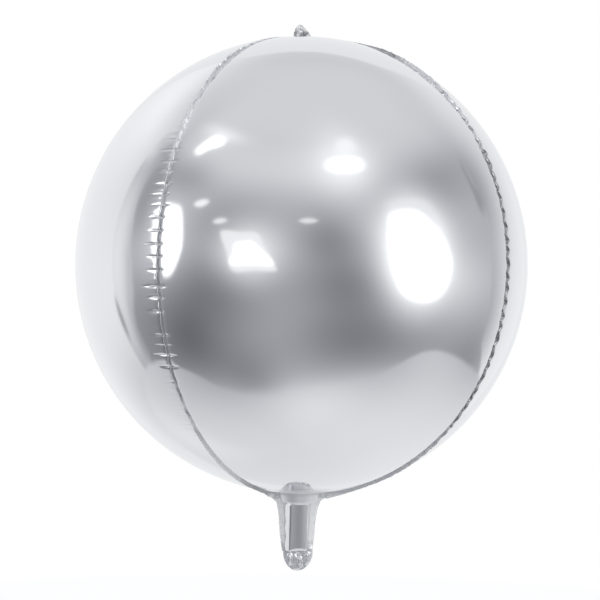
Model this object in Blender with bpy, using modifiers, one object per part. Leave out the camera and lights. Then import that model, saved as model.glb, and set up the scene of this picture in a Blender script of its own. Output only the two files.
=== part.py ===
"""Round foil balloon of four film panels: two of them run on into the flat neck.

The panels meet in four standing weld seams, which gather in a tuft at the top.
Metres, +Z up, the ball's centre at the origin, the front panel facing -Y.
Azimuths are measured about Z from -Y towards +X, polar angles from the top.
"""
import math

import bmesh
import bpy
from mathutils import Vector

# The ball, outside the film
BALL_RADIUS = 0.200
BALL_HALF_HEIGHT = 0.2022
FILM = 0.0016
CLEARANCE = 0.0003

# Polar angles in degrees: the film's upper edge, the seams' upper end, where the funnel
# to the neck begins, where the side panels end in points, and the neck's mouth
TOP_EDGE = 1.8
SEAM_TOP = 3.2
FUNNEL_START = 156.0
SIDE_TIP = 173.7
NECK_MOUTH = 174.2
BALL_ROWS = 21
FUNNEL_ROWS = 8
COLUMNS = 12

# The seams: two films welded flat, standing outwards in a shallow valley of the ball
SEAM_AZIMUTH = 45.0
SEAM_SPREAD_START = 164.0
SEAM_HEIGHT = 0.005
SEAM_THICKNESS = 0.0008
VALLEY_DEPTH = 0.003
VALLEY_WIDTH = 0.007
VALLEY_FULL_RADIUS = 0.060

# The funnel that the neck's pull makes in the ball's underside
FUNNEL_DROP = 0.010
FUNNEL_REACH = 0.0135

# The neck, from its mouth in the ball down to the tail
NECK_LENGTH = 0.0431
NECK_TOP_HALF_WIDTH = 0.0158
NECK_END_HALF_WIDTH = 0.0112
NECK_FLARE_REACH = 0.0018
NECK_ROUND_REACH = 0.004
NECK_TOP_DEPTH_RATIO = 0.62
NECK_END_DEPTH_RATIO = 0.42
NECK_ROWS = 9
NECK_WELD_WIDTH = 0.003

# The tail: the neck pressed shut into a flat tab with a round end
TAIL_LENGTH = 0.0205
TAIL_PRESSED_LENGTH = 0.0055
TAIL_ROUND_START = 0.0030
TAIL_HALF_THICKNESS = 0.0006
TAIL_ROUND_SHARE = 0.97
TAIL_ROWS = 12

# The tuft of gathered film at the top
TUFT_HEIGHT = 0.0135
TUFT_BASE_RADIUS = 0.0086
TUFT_TIP_RADIUS = 0.0013
TUFT_CONCAVITY = 1.3
TUFT_LOBES = 4
TUFT_LOBE_SHARE = 0.24

# Silver of the foil, of its pressed welds and of the crumpled tuft: colour, roughness
FOIL = ((0.80, 0.80, 0.82), 0.10)
WELD = ((0.72, 0.72, 0.74), 0.22)
CRUMPLED = ((0.62, 0.62, 0.64), 0.28)


def ball_section(polar):
    """Half width, half depth and height of the ball's outside at a polar angle in degrees."""
    angle = math.radians(polar)
    radius = BALL_RADIUS * math.sin(angle)
    height = BALL_HALF_HEIGHT * math.cos(angle)
    if polar > 90:
        mouth_radius = BALL_RADIUS * math.sin(math.radians(NECK_MOUTH))
        height -= FUNNEL_DROP * math.exp((mouth_radius - radius) / FUNNEL_REACH)
    return radius, radius, height


def neck_section(drop):
    """Half width, half depth and height of the neck's outside, a drop below its mouth."""
    mouth_radius, _, mouth_height = ball_section(NECK_MOUTH)
    share = drop / NECK_LENGTH
    half_width = NECK_TOP_HALF_WIDTH + (NECK_END_HALF_WIDTH - NECK_TOP_HALF_WIDTH) * share
    half_width += (mouth_radius - NECK_TOP_HALF_WIDTH) * math.exp(-drop / NECK_FLARE_REACH)
    ratio = NECK_TOP_DEPTH_RATIO + (NECK_END_DEPTH_RATIO - NECK_TOP_DEPTH_RATIO) * share
    ratio += (1 - NECK_TOP_DEPTH_RATIO) * math.exp(-drop / NECK_ROUND_REACH)
    return half_width, half_width * ratio, mouth_height - drop


def seam_azimuth(polar):
    """Angle of a front seam from -Y: it swings round to the neck's side near the mouth."""
    share = max(0.0, (polar - SEAM_SPREAD_START) / (NECK_MOUTH - SEAM_SPREAD_START))
    return SEAM_AZIMUTH + (90 - SEAM_AZIMUTH) * min(share, 1.0) ** 2


def ball_polars():
    """The polar angles of the film's rows, from its upper edge to the side panels' points."""
    ball_step = (FUNNEL_START - SEAM_TOP) / BALL_ROWS
    funnel_step = (SIDE_TIP - FUNNEL_START) / FUNNEL_ROWS
    rows = [TOP_EDGE]
    rows += [SEAM_TOP + ball_step * row for row in range(BALL_ROWS)]
    rows += [FUNNEL_START + funnel_step * row for row in range(FUNNEL_ROWS + 1)]
    return rows


def neck_drops():
    """Drops of the neck's rows below its mouth, close together where it flares."""
    return [NECK_LENGTH * (row / NECK_ROWS) ** 1.6 for row in range(NECK_ROWS + 1)]


def valley(polar, distance):
    """How far the film lies inside the round ball, at a distance from the seam."""
    radius = ball_section(polar)[0]
    depth = VALLEY_DEPTH * min(1.0, radius / VALLEY_FULL_RADIUS) ** 2
    return depth * math.exp(-(distance / VALLEY_WIDTH) ** 2)


def section_point(section, azimuth):
    """The point of an elliptical cross-section at an azimuth in degrees."""
    half_width, half_depth, height = section
    angle = math.radians(azimuth)
    return Vector((half_width * math.sin(angle), -half_depth * math.cos(angle), height))


def ball_point(polar, azimuth, raised=0.0):
    """A point of the ball, raised along the outward normal of its profile."""
    step = 0.05
    above = section_point(ball_section(polar - step), azimuth)
    below = section_point(ball_section(polar + step), azimuth)
    down = (below - above).normalized()
    angle = math.radians(azimuth)
    across = Vector((math.cos(angle), math.sin(angle), 0))
    return section_point(ball_section(polar), azimuth) + down.cross(across) * raised


def edge_setback(polar):
    """Degrees that a panel's edge stays back from the seam's middle plane."""
    step = 0.5
    radius = ball_section(polar)[0]
    turn = math.radians(seam_azimuth(polar + step) - seam_azimuth(polar - step))
    along = math.radians(2 * step) * BALL_RADIUS
    slant = math.hypot(1, radius * turn / along)
    return math.degrees((SEAM_THICKNESS / 2 + CLEARANCE) * slant / radius)


def film_material(name, finish):
    """A metallic foil finish from a colour and a roughness."""
    colour, roughness = finish
    material = bpy.data.materials.new(name)
    material.use_nodes = True
    shader = material.node_tree.nodes["Principled BSDF"]
    shader.inputs["Base Color"].default_value = (*colour, 1)
    shader.inputs["Metallic"].default_value = 1.0
    shader.inputs["Roughness"].default_value = roughness
    return material


def named_object(name, mesh, finish, collection):
    """Turn a bmesh into a smooth-shaded object of the balloon."""
    data = bpy.data.meshes.new(name)
    mesh.to_mesh(data)
    mesh.free()
    data.shade_smooth()
    data.set_sharp_from_angle(angle=math.radians(40))
    data.materials.append(film_material(name, finish))
    balloon_piece = bpy.data.objects.new(name, data)
    collection.objects.link(balloon_piece)
    return balloon_piece


def laid_grid(rows, columns, place):
    """A grid primitive laid where place(row, column share) says, its rows running down."""
    mesh = bmesh.new()
    bmesh.ops.create_grid(mesh, x_segments=columns, y_segments=rows, size=0.5)
    for vertex in mesh.verts:
        row = round((vertex.co.y + 0.5) * rows)
        vertex.co = place(row, vertex.co.x + 0.5)
    bmesh.ops.reverse_faces(mesh, faces=mesh.faces)
    return mesh


def add_wall(balloon_piece, thickness, offset):
    """Give an open sheet its thickness."""
    wall = balloon_piece.modifiers.new("wall", "SOLIDIFY")
    wall.thickness = thickness
    wall.offset = offset


def panel(name, facing, on_neck, collection):
    """One panel of film; the front and back ones run on down the neck."""
    polars = ball_polars()
    drops = neck_drops() if on_neck else []

    def place(row, across):
        lean = math.sin(math.radians(90 * (2 * across - 1)))
        if row >= len(polars):
            section = neck_section(drops[row - len(polars)])
            setback = math.degrees((SEAM_THICKNESS / 2 + CLEARANCE) / section[1])
            return section_point(section, facing + (90 - setback) * lean)
        polar = polars[row]
        seam = seam_azimuth(polar)
        half_angle = (seam if on_neck else 90 - seam) - edge_setback(polar)
        distance = math.radians(half_angle * (1 - abs(lean))) * ball_section(polar)[0]
        return ball_point(polar, facing + half_angle * lean, -valley(polar, distance))

    mesh = laid_grid(len(polars) + len(drops) - 1, COLUMNS, place)
    film = named_object(name, mesh, FOIL, collection)
    add_wall(film, FILM, -1)


def seam(name, side, end, collection):
    """One standing weld along the ball, in front (end 1) or behind (end -1)."""
    polars = ball_polars()[1:]

    def place(row, across):
        polar = polars[row]
        azimuth = side * (seam_azimuth(polar) if end > 0 else 180 - seam_azimuth(polar))
        root = -valley(polar, 0) - FILM
        return ball_point(polar, azimuth, root + (SEAM_HEIGHT + FILM) * across)

    mesh = laid_grid(len(polars) - 1, 1, place)
    weld = named_object(name, mesh, WELD, collection)
    add_wall(weld, SEAM_THICKNESS, 0)


def neck_weld(name, side, collection):
    """The flat weld down one side of the neck, between the front and back film."""
    start = (SIDE_TIP + NECK_MOUTH) / 2
    sections = [ball_section(start)] + [neck_section(drop) for drop in neck_drops()]

    def place(row, across):
        half_width, _, height = sections[row]
        reach = (NECK_WELD_WIDTH + CLEARANCE) * across - CLEARANCE
        return Vector((side * (half_width + reach), 0, height))

    mesh = laid_grid(len(sections) - 1, 1, place)
    weld = named_object(name, mesh, WELD, collection)
    add_wall(weld, SEAM_THICKNESS, 0)


def tail(name, collection):
    """The neck's pressed end: a lens that flattens into a tab with a round end."""
    end_half_width, end_half_depth, end_height = neck_section(NECK_LENGTH)
    top = end_height - CLEARANCE
    outline_half_width = end_half_width + NECK_WELD_WIDTH

    def place(row, across):
        drop = TAIL_LENGTH * max(0, row - 1) / (TAIL_ROWS - 1)
        past = max(0.0, drop - TAIL_ROUND_START) / (TAIL_LENGTH - TAIL_ROUND_START)
        half_width = outline_half_width * math.sqrt(1 - (TAIL_ROUND_SHARE * past) ** 2)
        x = half_width * (2 * across - 1)
        on_edge = row in (0, TAIL_ROWS) or across in (0, 1)
        swell = max(0.0, 1 - drop / TAIL_PRESSED_LENGTH) ** 2
        lens = math.sqrt(max(0.0, 1 - (x / end_half_width) ** 2))
        depth = TAIL_HALF_THICKNESS + (end_half_depth - TAIL_HALF_THICKNESS) * swell * lens
        return Vector((x, 0 if on_edge else -depth, top - drop))

    mesh = laid_grid(TAIL_ROWS, COLUMNS, place)
    tab = named_object(name, mesh, WELD, collection)
    back = tab.modifiers.new("back", "MIRROR")
    back.use_axis = (False, True, False)
    back.merge_threshold = 0.00001


def top_tuft(name, collection):
    """The gathered film where the four seams end, in a lobe over each seam."""
    mesh = bmesh.new()
    bmesh.ops.create_uvsphere(mesh, u_segments=32, v_segments=10, radius=1)
    foot = BALL_HALF_HEIGHT + CLEARANCE
    for vertex in mesh.verts:
        share = (vertex.co.z + 1) / 2
        angle = math.atan2(vertex.co.x, -vertex.co.y)
        lobe = 1 + TUFT_LOBE_SHARE * math.cos(TUFT_LOBES * (angle - math.radians(SEAM_AZIMUTH)))
        cone = (TUFT_BASE_RADIUS - TUFT_TIP_RADIUS) * (1 - share) ** TUFT_CONCAVITY
        radius = (TUFT_TIP_RADIUS + cone) * lobe
        if math.hypot(vertex.co.x, vertex.co.y) < 1e-6:
            radius = 0
        vertex.co = (radius * math.sin(angle), -radius * math.cos(angle), foot + TUFT_HEIGHT * share)
    named_object(name, mesh, CRUMPLED, collection)


def build_balloon():
    for old in list(bpy.data.objects):
        bpy.data.objects.remove(old, do_unlink=True)
    collection = bpy.data.collections.new("round_foil_balloon")
    bpy.context.scene.collection.children.link(collection)
    for name, facing, on_neck in (
        ("panel_front", 0, True),
        ("panel_right", 90, False),
        ("panel_back", 180, True),
        ("panel_left", -90, False),
    ):
        panel(name, facing, on_neck, collection)
    for side_name, side in (("left", -1), ("right", 1)):
        seam("seam_front_" + side_name, side, 1, collection)
        seam("seam_back_" + side_name, side, -1, collection)
        neck_weld("neck_weld_" + side_name, side, collection)
    tail("tail_tab", collection)
    top_tuft("top_tuft", collection)


build_balloon()
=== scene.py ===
# %% [markdown]
# A round foil balloon, dressed for a studio photograph
#
# The balloon is a ball of four panels of metallised film. The film can't stretch, so where two
# panels are welded edge to edge it puckers: the weld stands out as a thin ruffled fin, and short
# creases run away from it. The four welds meet in a crumpled tuft at the top, and the front and
# back panels run on into the neck. The lesson builds all this round a finished engineering model,
# and hides each of the model's pieces that it builds anew.

import math

import bmesh
import bpy
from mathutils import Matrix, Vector


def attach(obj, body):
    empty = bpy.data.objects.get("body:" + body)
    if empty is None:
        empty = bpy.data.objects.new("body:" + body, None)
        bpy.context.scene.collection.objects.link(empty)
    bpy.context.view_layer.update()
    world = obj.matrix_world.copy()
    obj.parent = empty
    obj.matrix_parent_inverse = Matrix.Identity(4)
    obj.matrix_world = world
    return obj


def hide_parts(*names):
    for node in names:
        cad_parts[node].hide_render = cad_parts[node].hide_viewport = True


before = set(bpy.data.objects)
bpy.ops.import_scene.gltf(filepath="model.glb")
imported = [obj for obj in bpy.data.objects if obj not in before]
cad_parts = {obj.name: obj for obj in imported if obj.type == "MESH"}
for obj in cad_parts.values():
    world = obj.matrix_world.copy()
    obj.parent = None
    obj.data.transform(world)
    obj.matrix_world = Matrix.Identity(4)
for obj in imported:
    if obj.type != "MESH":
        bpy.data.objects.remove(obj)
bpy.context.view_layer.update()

# %% [markdown]
# Sizes
#
# The sizes follow the engineering model's, in metres and degrees. Polar angles are measured from
# the top of the ball, and azimuths from the front, -Y, towards the right, +X.

# %% Sizes of the ball and the neck
DEGREE = math.pi / 180
BALL_RADIUS = 0.2
BALL_HALF_HEIGHT = 0.2022
# polar angles of the film's upper edge, the side panels' points and the neck's mouth
FILM_TOP = 1.8
SIDE_TIP = 173.7
NECK_MOUTH = 174.2
# the short funnel in which the ball turns down into the neck
FUNNEL_START = 170.8
FUNNEL_RADIUS = 0.02
FUNNEL_CORNER = 0.5
FUNNEL_DROP = 0.0101
MOUTH_RADIUS = 0.0166
# the neck's tube: a nearly flat strip in front and behind, between steep flanks
NECK_LENGTH = 0.046
NECK_TOP_HALF_WIDTH = 0.0126
NECK_END_HALF_WIDTH = 0.0106
NECK_SHIFT = -0.0014
NECK_SHIFT_REACH = 0.003
NECK_FLARE_REACH = 0.0004
NECK_ROUND_REACH = 0.0005
NECK_STRIP_HALF_WIDTH = 0.0077
NECK_STRIP_RISE = 0.0012
NECK_FLANK_SLOPE = 2.1
NECK_CLOSING = 0.0048
NECK_ARCH = 0.004
NECK_PRESSED_SHARE = 0.16
MARGIN_TOP = -0.0036
MARGIN_THICKNESS = 0.0005
# outer edge of each margin of the neck: drop below the mouth, and half width there
MARGIN_EDGES = {
    "left": {-0.0036: 0.0258, -0.0014: 0.023, 0.0015: 0.0201, 0.0054: 0.0193, 0.0099: 0.0183,
        0.0198: 0.0175, 0.0319: 0.0165, 0.046: 0.0142},
    "right": {-0.0036: 0.0272, -0.0014: 0.0238, 0.0012: 0.0203, 0.0053: 0.0187, 0.0108: 0.0172,
        0.0175: 0.0161, 0.0329: 0.0148, 0.046: 0.0134},
}
FILM_THICKNESS = 0.00025
TAIL_LENGTH = 0.0177
TAIL_HALF_WIDTH = 0.0137
TAIL_HALF_DEPTH = 0.0017
TAIL_PRESSED_HALF_DEPTH = 0.0006
TAIL_TUCK = 0.0015
TAIL_CRUMPLE = 0.001
# crease of the tail: place across, middle below the neck's end, half length, half width, depth
TAIL_CREASES = {
    "left_ridge": (-0.008, 0.005, 0.006, 0.0014, -0.0014),
    "left_fold": (-0.005, 0.008, 0.0045, 0.0012, 0.0012),
    "middle_ridge": (0.0012, 0.008, 0.0035, 0.0011, -0.0014),
    "middle_pit": (0.0000, 0.002, 0.0016, 0.0022, 0.0009),
    "right_fold": (0.0042, 0.011, 0.003, 0.001, 0.0018),
    "right_ridge": (0.0084, 0.005, 0.006, 0.0015, -0.0012),
}
TUFT_HEIGHT = 0.0143
TUFT_CRUMPLE = 0.0045
TUFT_RIDGE = 0.011
TUFT_CORE = 0.00035
# share of the way down the tuft's grid at which it turns in under itself
TUFT_FOOT = 0.9
# outline of the tuft: share of its height, and radius there
TUFT_OUTLINE = {0: 0.0077, 0.2: 0.0068, 0.5: 0.0068, 0.65: 0.0063, 0.8: 0.0049, 0.92: 0.0028, 1: 0.0}
TUFT_PLACE = (-0.0033, 0.0, 0.0002)
# fold of the tuft: turn from the front in radians, share of the height, half sizes of both, depth
TUFT_FOLDS = {
    "middle_lobe": (-0.25, 0.18, 0.55, 0.24, -0.0014),
    "left_groove": (-1.15, 0.38, 0.2, 0.34, 0.0019),
    "left_lobe": (-1.65, 0.3, 0.3, 0.24, -0.0006),
    "right_groove": (0.55, 0.42, 0.2, 0.4, 0.0022),
    "right_lobe": (1.05, 0.3, 0.32, 0.3, -0.0007),
    "high_notch": (-0.1, 0.66, 0.45, 0.1, 0.0016),
    "rear_groove": (2.6, 0.4, 0.3, 0.4, 0.0034),
    "rear_lobe": (-2.6, 0.25, 0.45, 0.25, -0.0016),
}

# The welded seams: where they run, how deep the film dips towards them, how far they stand out
SEAM_AZIMUTH = 45.0
SEAM_SPREAD_START = 164.0
VALLEY_DEPTH = 0.0003
VALLEY_WIDTH = 0.002
VALLEY_FULL_RADIUS = 0.06
FIN_THICKNESS = 0.00035
FIN_ROOT = 0.0006
# share of a fin's height that a metre of its sideways wave takes away
FIN_PULL = 160
# height of each fin, by the pucker reached
FIN_HEIGHTS = {
    "front_left": {0: 0.0004, 5: 0.0005, 8: 0.0012, 10.5: 0.0026, 13: 0.0028, 16: 0.0018, 20: 0.0013,
        31: 0.0013, 37: 0.001, 42: 0.0011, 45: 0.002, 50: 0.002, 53: 0.002, 55: 0.0028, 56.4: 0.0043,
        57.1: 0.0064, 57.5: 0.0068, 57.75: 0.0058, 58: 0.0038},
    "front_right": {0: 0.0004, 4: 0.0004, 5.4: 0.0006, 6.8: 0.0016, 8: 0.0021, 10.5: 0.0026, 13: 0.003,
        16: 0.0022, 19: 0.0016, 20.5: 0.0024, 21.8: 0.002, 22.4: 0.0014, 31: 0.0016, 40: 0.0014,
        44: 0.0013, 45.5: 0.002, 50: 0.002, 53: 0.0022, 55: 0.0034, 56.4: 0.0054, 57.1: 0.0074,
        57.5: 0.0074, 57.75: 0.0062, 58: 0.004},
    "back_right": {0: 0.0004, 8: 0.0012, 12: 0.0028, 16: 0.0021, 31: 0.0017, 42: 0.0015, 46: 0.0023,
        53: 0.0021, 55: 0.0028, 57: 0.0048, 58: 0.0036},
    "back_left": {0: 0.0004, 7: 0.0012, 11: 0.0026, 17: 0.0019, 30: 0.0018, 41: 0.0014, 45: 0.0024,
        53: 0.002, 55: 0.0028, 57: 0.0046, 58: 0.0036},
}
# seam: azimuth, its fin's lean in degrees, number, strength of grooves and of scallops, sideways wave
SEAMS = {
    "front_left": (-45.0, -14.0, 0.0, 1.0, 0.55, 0.0003),
    "front_right": (45.0, -18.0, 1.0, 0.15, 0.25, -0.0022),
    "back_right": (135.0, -14.0, 2.0, 0.7, 0.8, 0.001),
    "back_left": (-135.0, 16.0, 3.0, 0.8, 0.6, -0.0006),
}
SEAM_NUMBERS = ("Seam", "Grooves", "Scallops", "Wave")

# The puckers beside a seam: how many from the top to the neck's mouth, and their sizes
PUCKERS = 58
PUCKER_PITCH = (NECK_MOUTH - FILM_TOP) / PUCKERS
SIDE_PUCKERS = (SIDE_TIP - FILM_TOP) / PUCKER_PITCH
PUCKER_SHIFT = 0.3
PUCKER_DRIFT = 0.28
SCALLOP_DEPTH = 0.0009
SCALLOP_WIDTH = 0.0008
GROOVE_DEPTH = 0.001
GROOVE_WIDTH = 0.001
GROOVE_REACH = 0.0085
GROOVE_EXTRA_REACH = 0.006
RIPPLE_DEPTH = 0.00012
RIPPLE_REACH = 0.008
WANDER = 0.0004
WANDER_REACH = 0.006
SLACK = 0.00018
ROWS_PER_PUCKER = 13
# The front left seam is the one seen best, so its creases are measured.
# crease: where it lies, in puckers from the top, and how strong it is
CREASES = {
    0: (0.0, 0.0), 20: (20.2, 0.05), 21: (21.1, 0.15), 22: (22.1, 0.35), 23: (22.9, 0.3), 24: (23.9, 0.5),
    25: (24.7, 0.45), 26: (25.5, 0.5), 27: (26.4, 0.6), 28: (27.4, 0.55), 29: (28.4, 0.6),
    30: (29.3, 0.6), 31: (30.3, 0.55), 32: (31.5, 0.95), 33: (32.3, 0.95), 34: (33.3, 0.6),
    35: (35.2, 0.55), 36: (35.9, 0.3), 37: (36.7, 0.9), 38: (37.6, 1.00), 39: (38.9, 0.1),
    40: (40.0, 0.05), 58: (58.0, 0.0),
}
CREASE_PLACES = {number: place for number, (place, _) in CREASES.items()}
CREASE_STRENGTHS = {number: strength for number, (_, strength) in CREASES.items()}

# %% [markdown]
# Sums in Python
#
# Blender's node trees need one Math node for each plus or times sign, and a long formula is hard to
# read that way. So a small class wraps a socket and lets Python's operators add the nodes, and the
# formulas' functions take a wire or a plain number.

# %% A wire that can be used in a formula
def math_node(operation, *values):
    return add_node("ShaderNodeMath", dict(enumerate(values)), operation=operation)


def operator(operation):
    return lambda wire, other: math_node(operation, wire, other)


def swapped(operation):
    return lambda wire, other: math_node(operation, other, wire)


class Wire:
    """A value in a node tree. Python's operators add the Math nodes that work it out."""

    def __init__(self, tree, socket):
        self.tree = tree
        self.socket = socket

    def other(self, name):
        """Another output of the node that this wire leaves."""
        return Wire(self.tree, self.socket.node.outputs[name])

    def __neg__(self):
        return self * -1

    __add__ = __radd__ = operator("ADD")
    __sub__ = operator("SUBTRACT")
    __rsub__ = swapped("SUBTRACT")
    __mul__ = __rmul__ = operator("MULTIPLY")
    __truediv__ = operator("DIVIDE")
    __rtruediv__ = swapped("DIVIDE")
    __pow__ = operator("POWER")
    __lt__ = operator("LESS_THAN")
    __gt__ = operator("GREATER_THAN")


def add_node(kind, sockets=None, out=0, tree=None, **settings):
    """Add any node. Its wires know which tree they are in, and a node without any is told."""
    sockets = sockets or {}
    tree = tree or next(value.tree for value in sockets.values() if isinstance(value, Wire))
    node = tree.nodes.new(kind)
    for name, value in settings.items():
        setattr(node, name, value)
    for key, value in sockets.items():
        if isinstance(value, Wire):
            tree.links.new(value.socket, node.inputs[key])
        else:
            node.inputs[key].default_value = value
    return Wire(tree, node.outputs[out]) if node.outputs else node


def combined(x, y, z):
    return add_node("ShaderNodeCombineXYZ", {"X": x, "Y": y, "Z": z})


def parts_of(vector):
    x = add_node("ShaderNodeSeparateXYZ", {"Vector": vector})
    return x, x.other("Y"), x.other("Z")


def read_off(table, place):
    """What a table of places and values says at a place, straight between its rows."""
    first, length = min(table), max(table) - min(table)
    low = min(table.values())
    rise = max(table.values()) - low
    rows = [((row - first) / length, (value - low) / rise) for row, value in table.items()]
    curve = add_node("ShaderNodeFloatCurve", {"Value": (place - first) / length})
    mapping = curve.socket.node.mapping
    points = mapping.curves[0].points
    points[0].location, points[-1].location = rows[0], rows[-1]
    for row in rows[1:-1]:
        points.new(*row)
    for point in points:
        point.handle_type = "VECTOR"
    mapping.update()
    return low + rise * curve


# %% Functions that take a number or a wire
def plain_or_wire(operation, plain):
    def work(*values):
        if any(isinstance(value, Wire) for value in values):
            return math_node(operation, *values)
        return plain(*values)
    return work


sine = plain_or_wire("SINE", math.sin)
cosine = plain_or_wire("COSINE", math.cos)
exponential = plain_or_wire("EXPONENT", math.exp)
root = plain_or_wire("SQRT", math.sqrt)
size_of = plain_or_wire("ABSOLUTE", abs)
whole = plain_or_wire("FLOOR", math.floor)
least = plain_or_wire("MINIMUM", min)
most = plain_or_wire("MAXIMUM", max)
arc_sine = plain_or_wire("ARCSINE", math.asin)
turn_of = plain_or_wire("ARCTAN2", math.atan2)


def clipped(value):
    return least(most(value, 0), 1)


def eased(value, start, end):
    """0 at start, 1 at end and smooth between them."""
    share = clipped((value - start) / (end - start))
    return share * share * (3 - 2 * share)


def chosen(use_second, first, second):
    """The first value where use_second is 0, the second where it is 1."""
    return first + (second - first) * use_second


def bell(value):
    """1 at 0, and falling smoothly towards 0 on both sides."""
    return exponential(-1 * value ** 2)


# %% Random numbers that are the same each time
def clouds(place, scale, detail):
    """Smooth noise in space, from 0 to 1."""
    return add_node("ShaderNodeTexNoise", {"Vector": place, "Scale": scale, "Detail": detail})


def soft_noise(along, detail=0.0):
    """Smooth noise along one number, from -1 to 1."""
    noise = add_node("ShaderNodeTexNoise", {"W": along, "Scale": 1.0, "Detail": detail, "Roughness": 0.5},
                     noise_dimensions="1D")
    return (noise - 0.5) * 2.6


def dice(throw, seam):
    """Three random numbers from 0 to 1 for one pucker of one seam."""
    place = combined(throw, seam, 0.5)
    noise = add_node("ShaderNodeTexWhiteNoise", {"Vector": place}, "Color", noise_dimensions="3D")
    return parts_of(noise)


print("sums ready: 3 + 4 =", sine(0) + 3 + 4)

# %% [markdown]
# The camera
#
# The seams, the outline, the neck and the tuft fall in the photograph's places from one spot only,
# and the camera was solved for them. It stands level with the ball, a metre away and a little to
# the left.

# %% The camera of the photograph
CAMERA_AZIMUTH = -11.88
CAMERA_ELEVATION = -0.81
CAMERA_DISTANCE = 1.0714
CAMERA_ROLL = 0.683
CAMERA_LENS = 71.39
CAMERA_SENSOR = 36
AIM_RIGHT = -0.0009
AIM_UP = -0.0305
PICTURE = 600

collection = bpy.context.scene.collection
a, e = CAMERA_AZIMUTH * DEGREE, CAMERA_ELEVATION * DEGREE
back = Vector((math.sin(a) * math.cos(e), -math.cos(a) * math.cos(e), math.sin(e)))
right = Vector((0, 0, 1)).cross(back).normalized()
aim = right * AIM_RIGHT + back.cross(right) * AIM_UP
lens = bpy.data.cameras.new("photo_camera")
lens.lens = CAMERA_LENS
camera = bpy.data.objects.new("photo_camera", lens)
collection.objects.link(camera)
camera.location = back * CAMERA_DISTANCE
camera.rotation_euler = (aim - camera.location).to_track_quat("-Z", "Y").to_euler()
camera.rotation_euler.rotate_axis("Z", CAMERA_ROLL * DEGREE)
bpy.context.scene.camera = camera
bpy.context.view_layer.update()
print("camera at", [round(value, 3) for value in camera.location])

# %% [markdown]
# Where a reflection comes from
#
# Silver foil has no colour of its own: what the photograph shows on it is the studio, bent round
# the ball. A line from the lens to the ball, turned about the surface's own direction, points at
# the part of the room that shines there.

# %% From a spot of the picture to a place in the room
ROOM_RADIUS = 1.9


def room_place(across, down, distance):
    """The point of a sphere round the ball that is mirrored at this spot of the picture."""
    turn = camera.matrix_world.to_quaternion()
    pitch = CAMERA_SENSOR / PICTURE
    spot = Vector(((across - PICTURE / 2) * pitch, (PICTURE / 2 - down) * pitch, -CAMERA_LENS))
    ray = (turn @ spot).normalized()
    eye = camera.matrix_world.translation
    squeeze = Vector((1, 1, BALL_RADIUS / BALL_HALF_HEIGHT))
    start, step = eye * squeeze, ray * squeeze
    half_b = start.dot(step) / step.length_squared
    inside = half_b ** 2 - (start.length_squared - BALL_RADIUS ** 2) / step.length_squared
    hit = eye + ray * (-half_b - math.sqrt(max(inside, 0)))
    normal = Vector((hit.x, hit.y, hit.z * squeeze.z ** 2)).normalized()
    away = ray - 2 * ray.dot(normal) * normal
    half_b = hit.dot(away)
    return hit + away * (-half_b + math.sqrt(half_b ** 2 - hit.length_squared + distance ** 2))


for spot in ((300, 51), (245, 253), (420, 255), (300, 390)):
    print("spot", spot, "mirrors the room at", [round(value, 2) for value in room_place(*spot, ROOM_RADIUS)])

# %% [markdown]
# The studio
#
# The balloon hangs in a white booth with a pale floor, open in front to a dim studio, which gives
# the foil its grey middle. The booth's sharp lines can be traced on the foil: the edge of the
# floor, the front edges of both side walls, a reveal beside the left one, and the top edge of the
# white sheet behind. A sphere round the set carries the tones, as a formula of direction with a
# table of soft patches. It is hidden from the camera.

# %% Helpers for light and the stage
def stage_object(name, body, material, seen=True):
    """A plain mesh of the stage. One that isn't seen still shines on the ball."""
    mesh = bpy.data.meshes.new(name)
    body.to_mesh(mesh)
    body.free()
    mesh.materials.append(material)
    thing = bpy.data.objects.new(name, mesh)
    collection.objects.link(thing)
    thing.visible_camera = thing.visible_shadow = seen
    return mesh


def new_material(name):
    """A material, and the place on the object as a wire of its tree."""
    material = bpy.data.materials.new(name)
    material.use_nodes = True
    material.node_tree.nodes.clear()
    return material, add_node("ShaderNodeTexCoord", out="Object", tree=material.node_tree)


def finish_material(material, shader, glows=False):
    add_node("ShaderNodeOutputMaterial", {"Surface": shader})
    if glows:
        material.cycles.emission_sampling = "NONE"
    return material


def tinted(red, green, blue):
    return add_node("ShaderNodeCombineColor", {"Red": red, "Green": green, "Blue": blue})


def grey_glow(tone):
    """Light of a given tone, bluer where it is dim."""
    dim = most(1 - tone, 0)
    colour = tinted(tone * (0.985 - 0.12 * dim), tone * (0.989 - 0.093 * dim), tone * 0.998)
    return add_node("ShaderNodeEmission", {"Color": colour, "Strength": 1.0})


# %% The room's tones, by direction
CEILING = 0.791
BACK_SHEET = 0.924
# the sheet behind the balloon as seen from it: middle, half width and height, as slopes
SHEET_MIDDLE = 0.1
SHEET_HALF_WIDTH = 0.6
SHEET_HEIGHT = 1.62
# part of the studio: its own tone
STUDIO_TONES = {"studio": 0.96, "booth": 0.979, "reveal": -0.261, "floor": 0.838}
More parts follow.
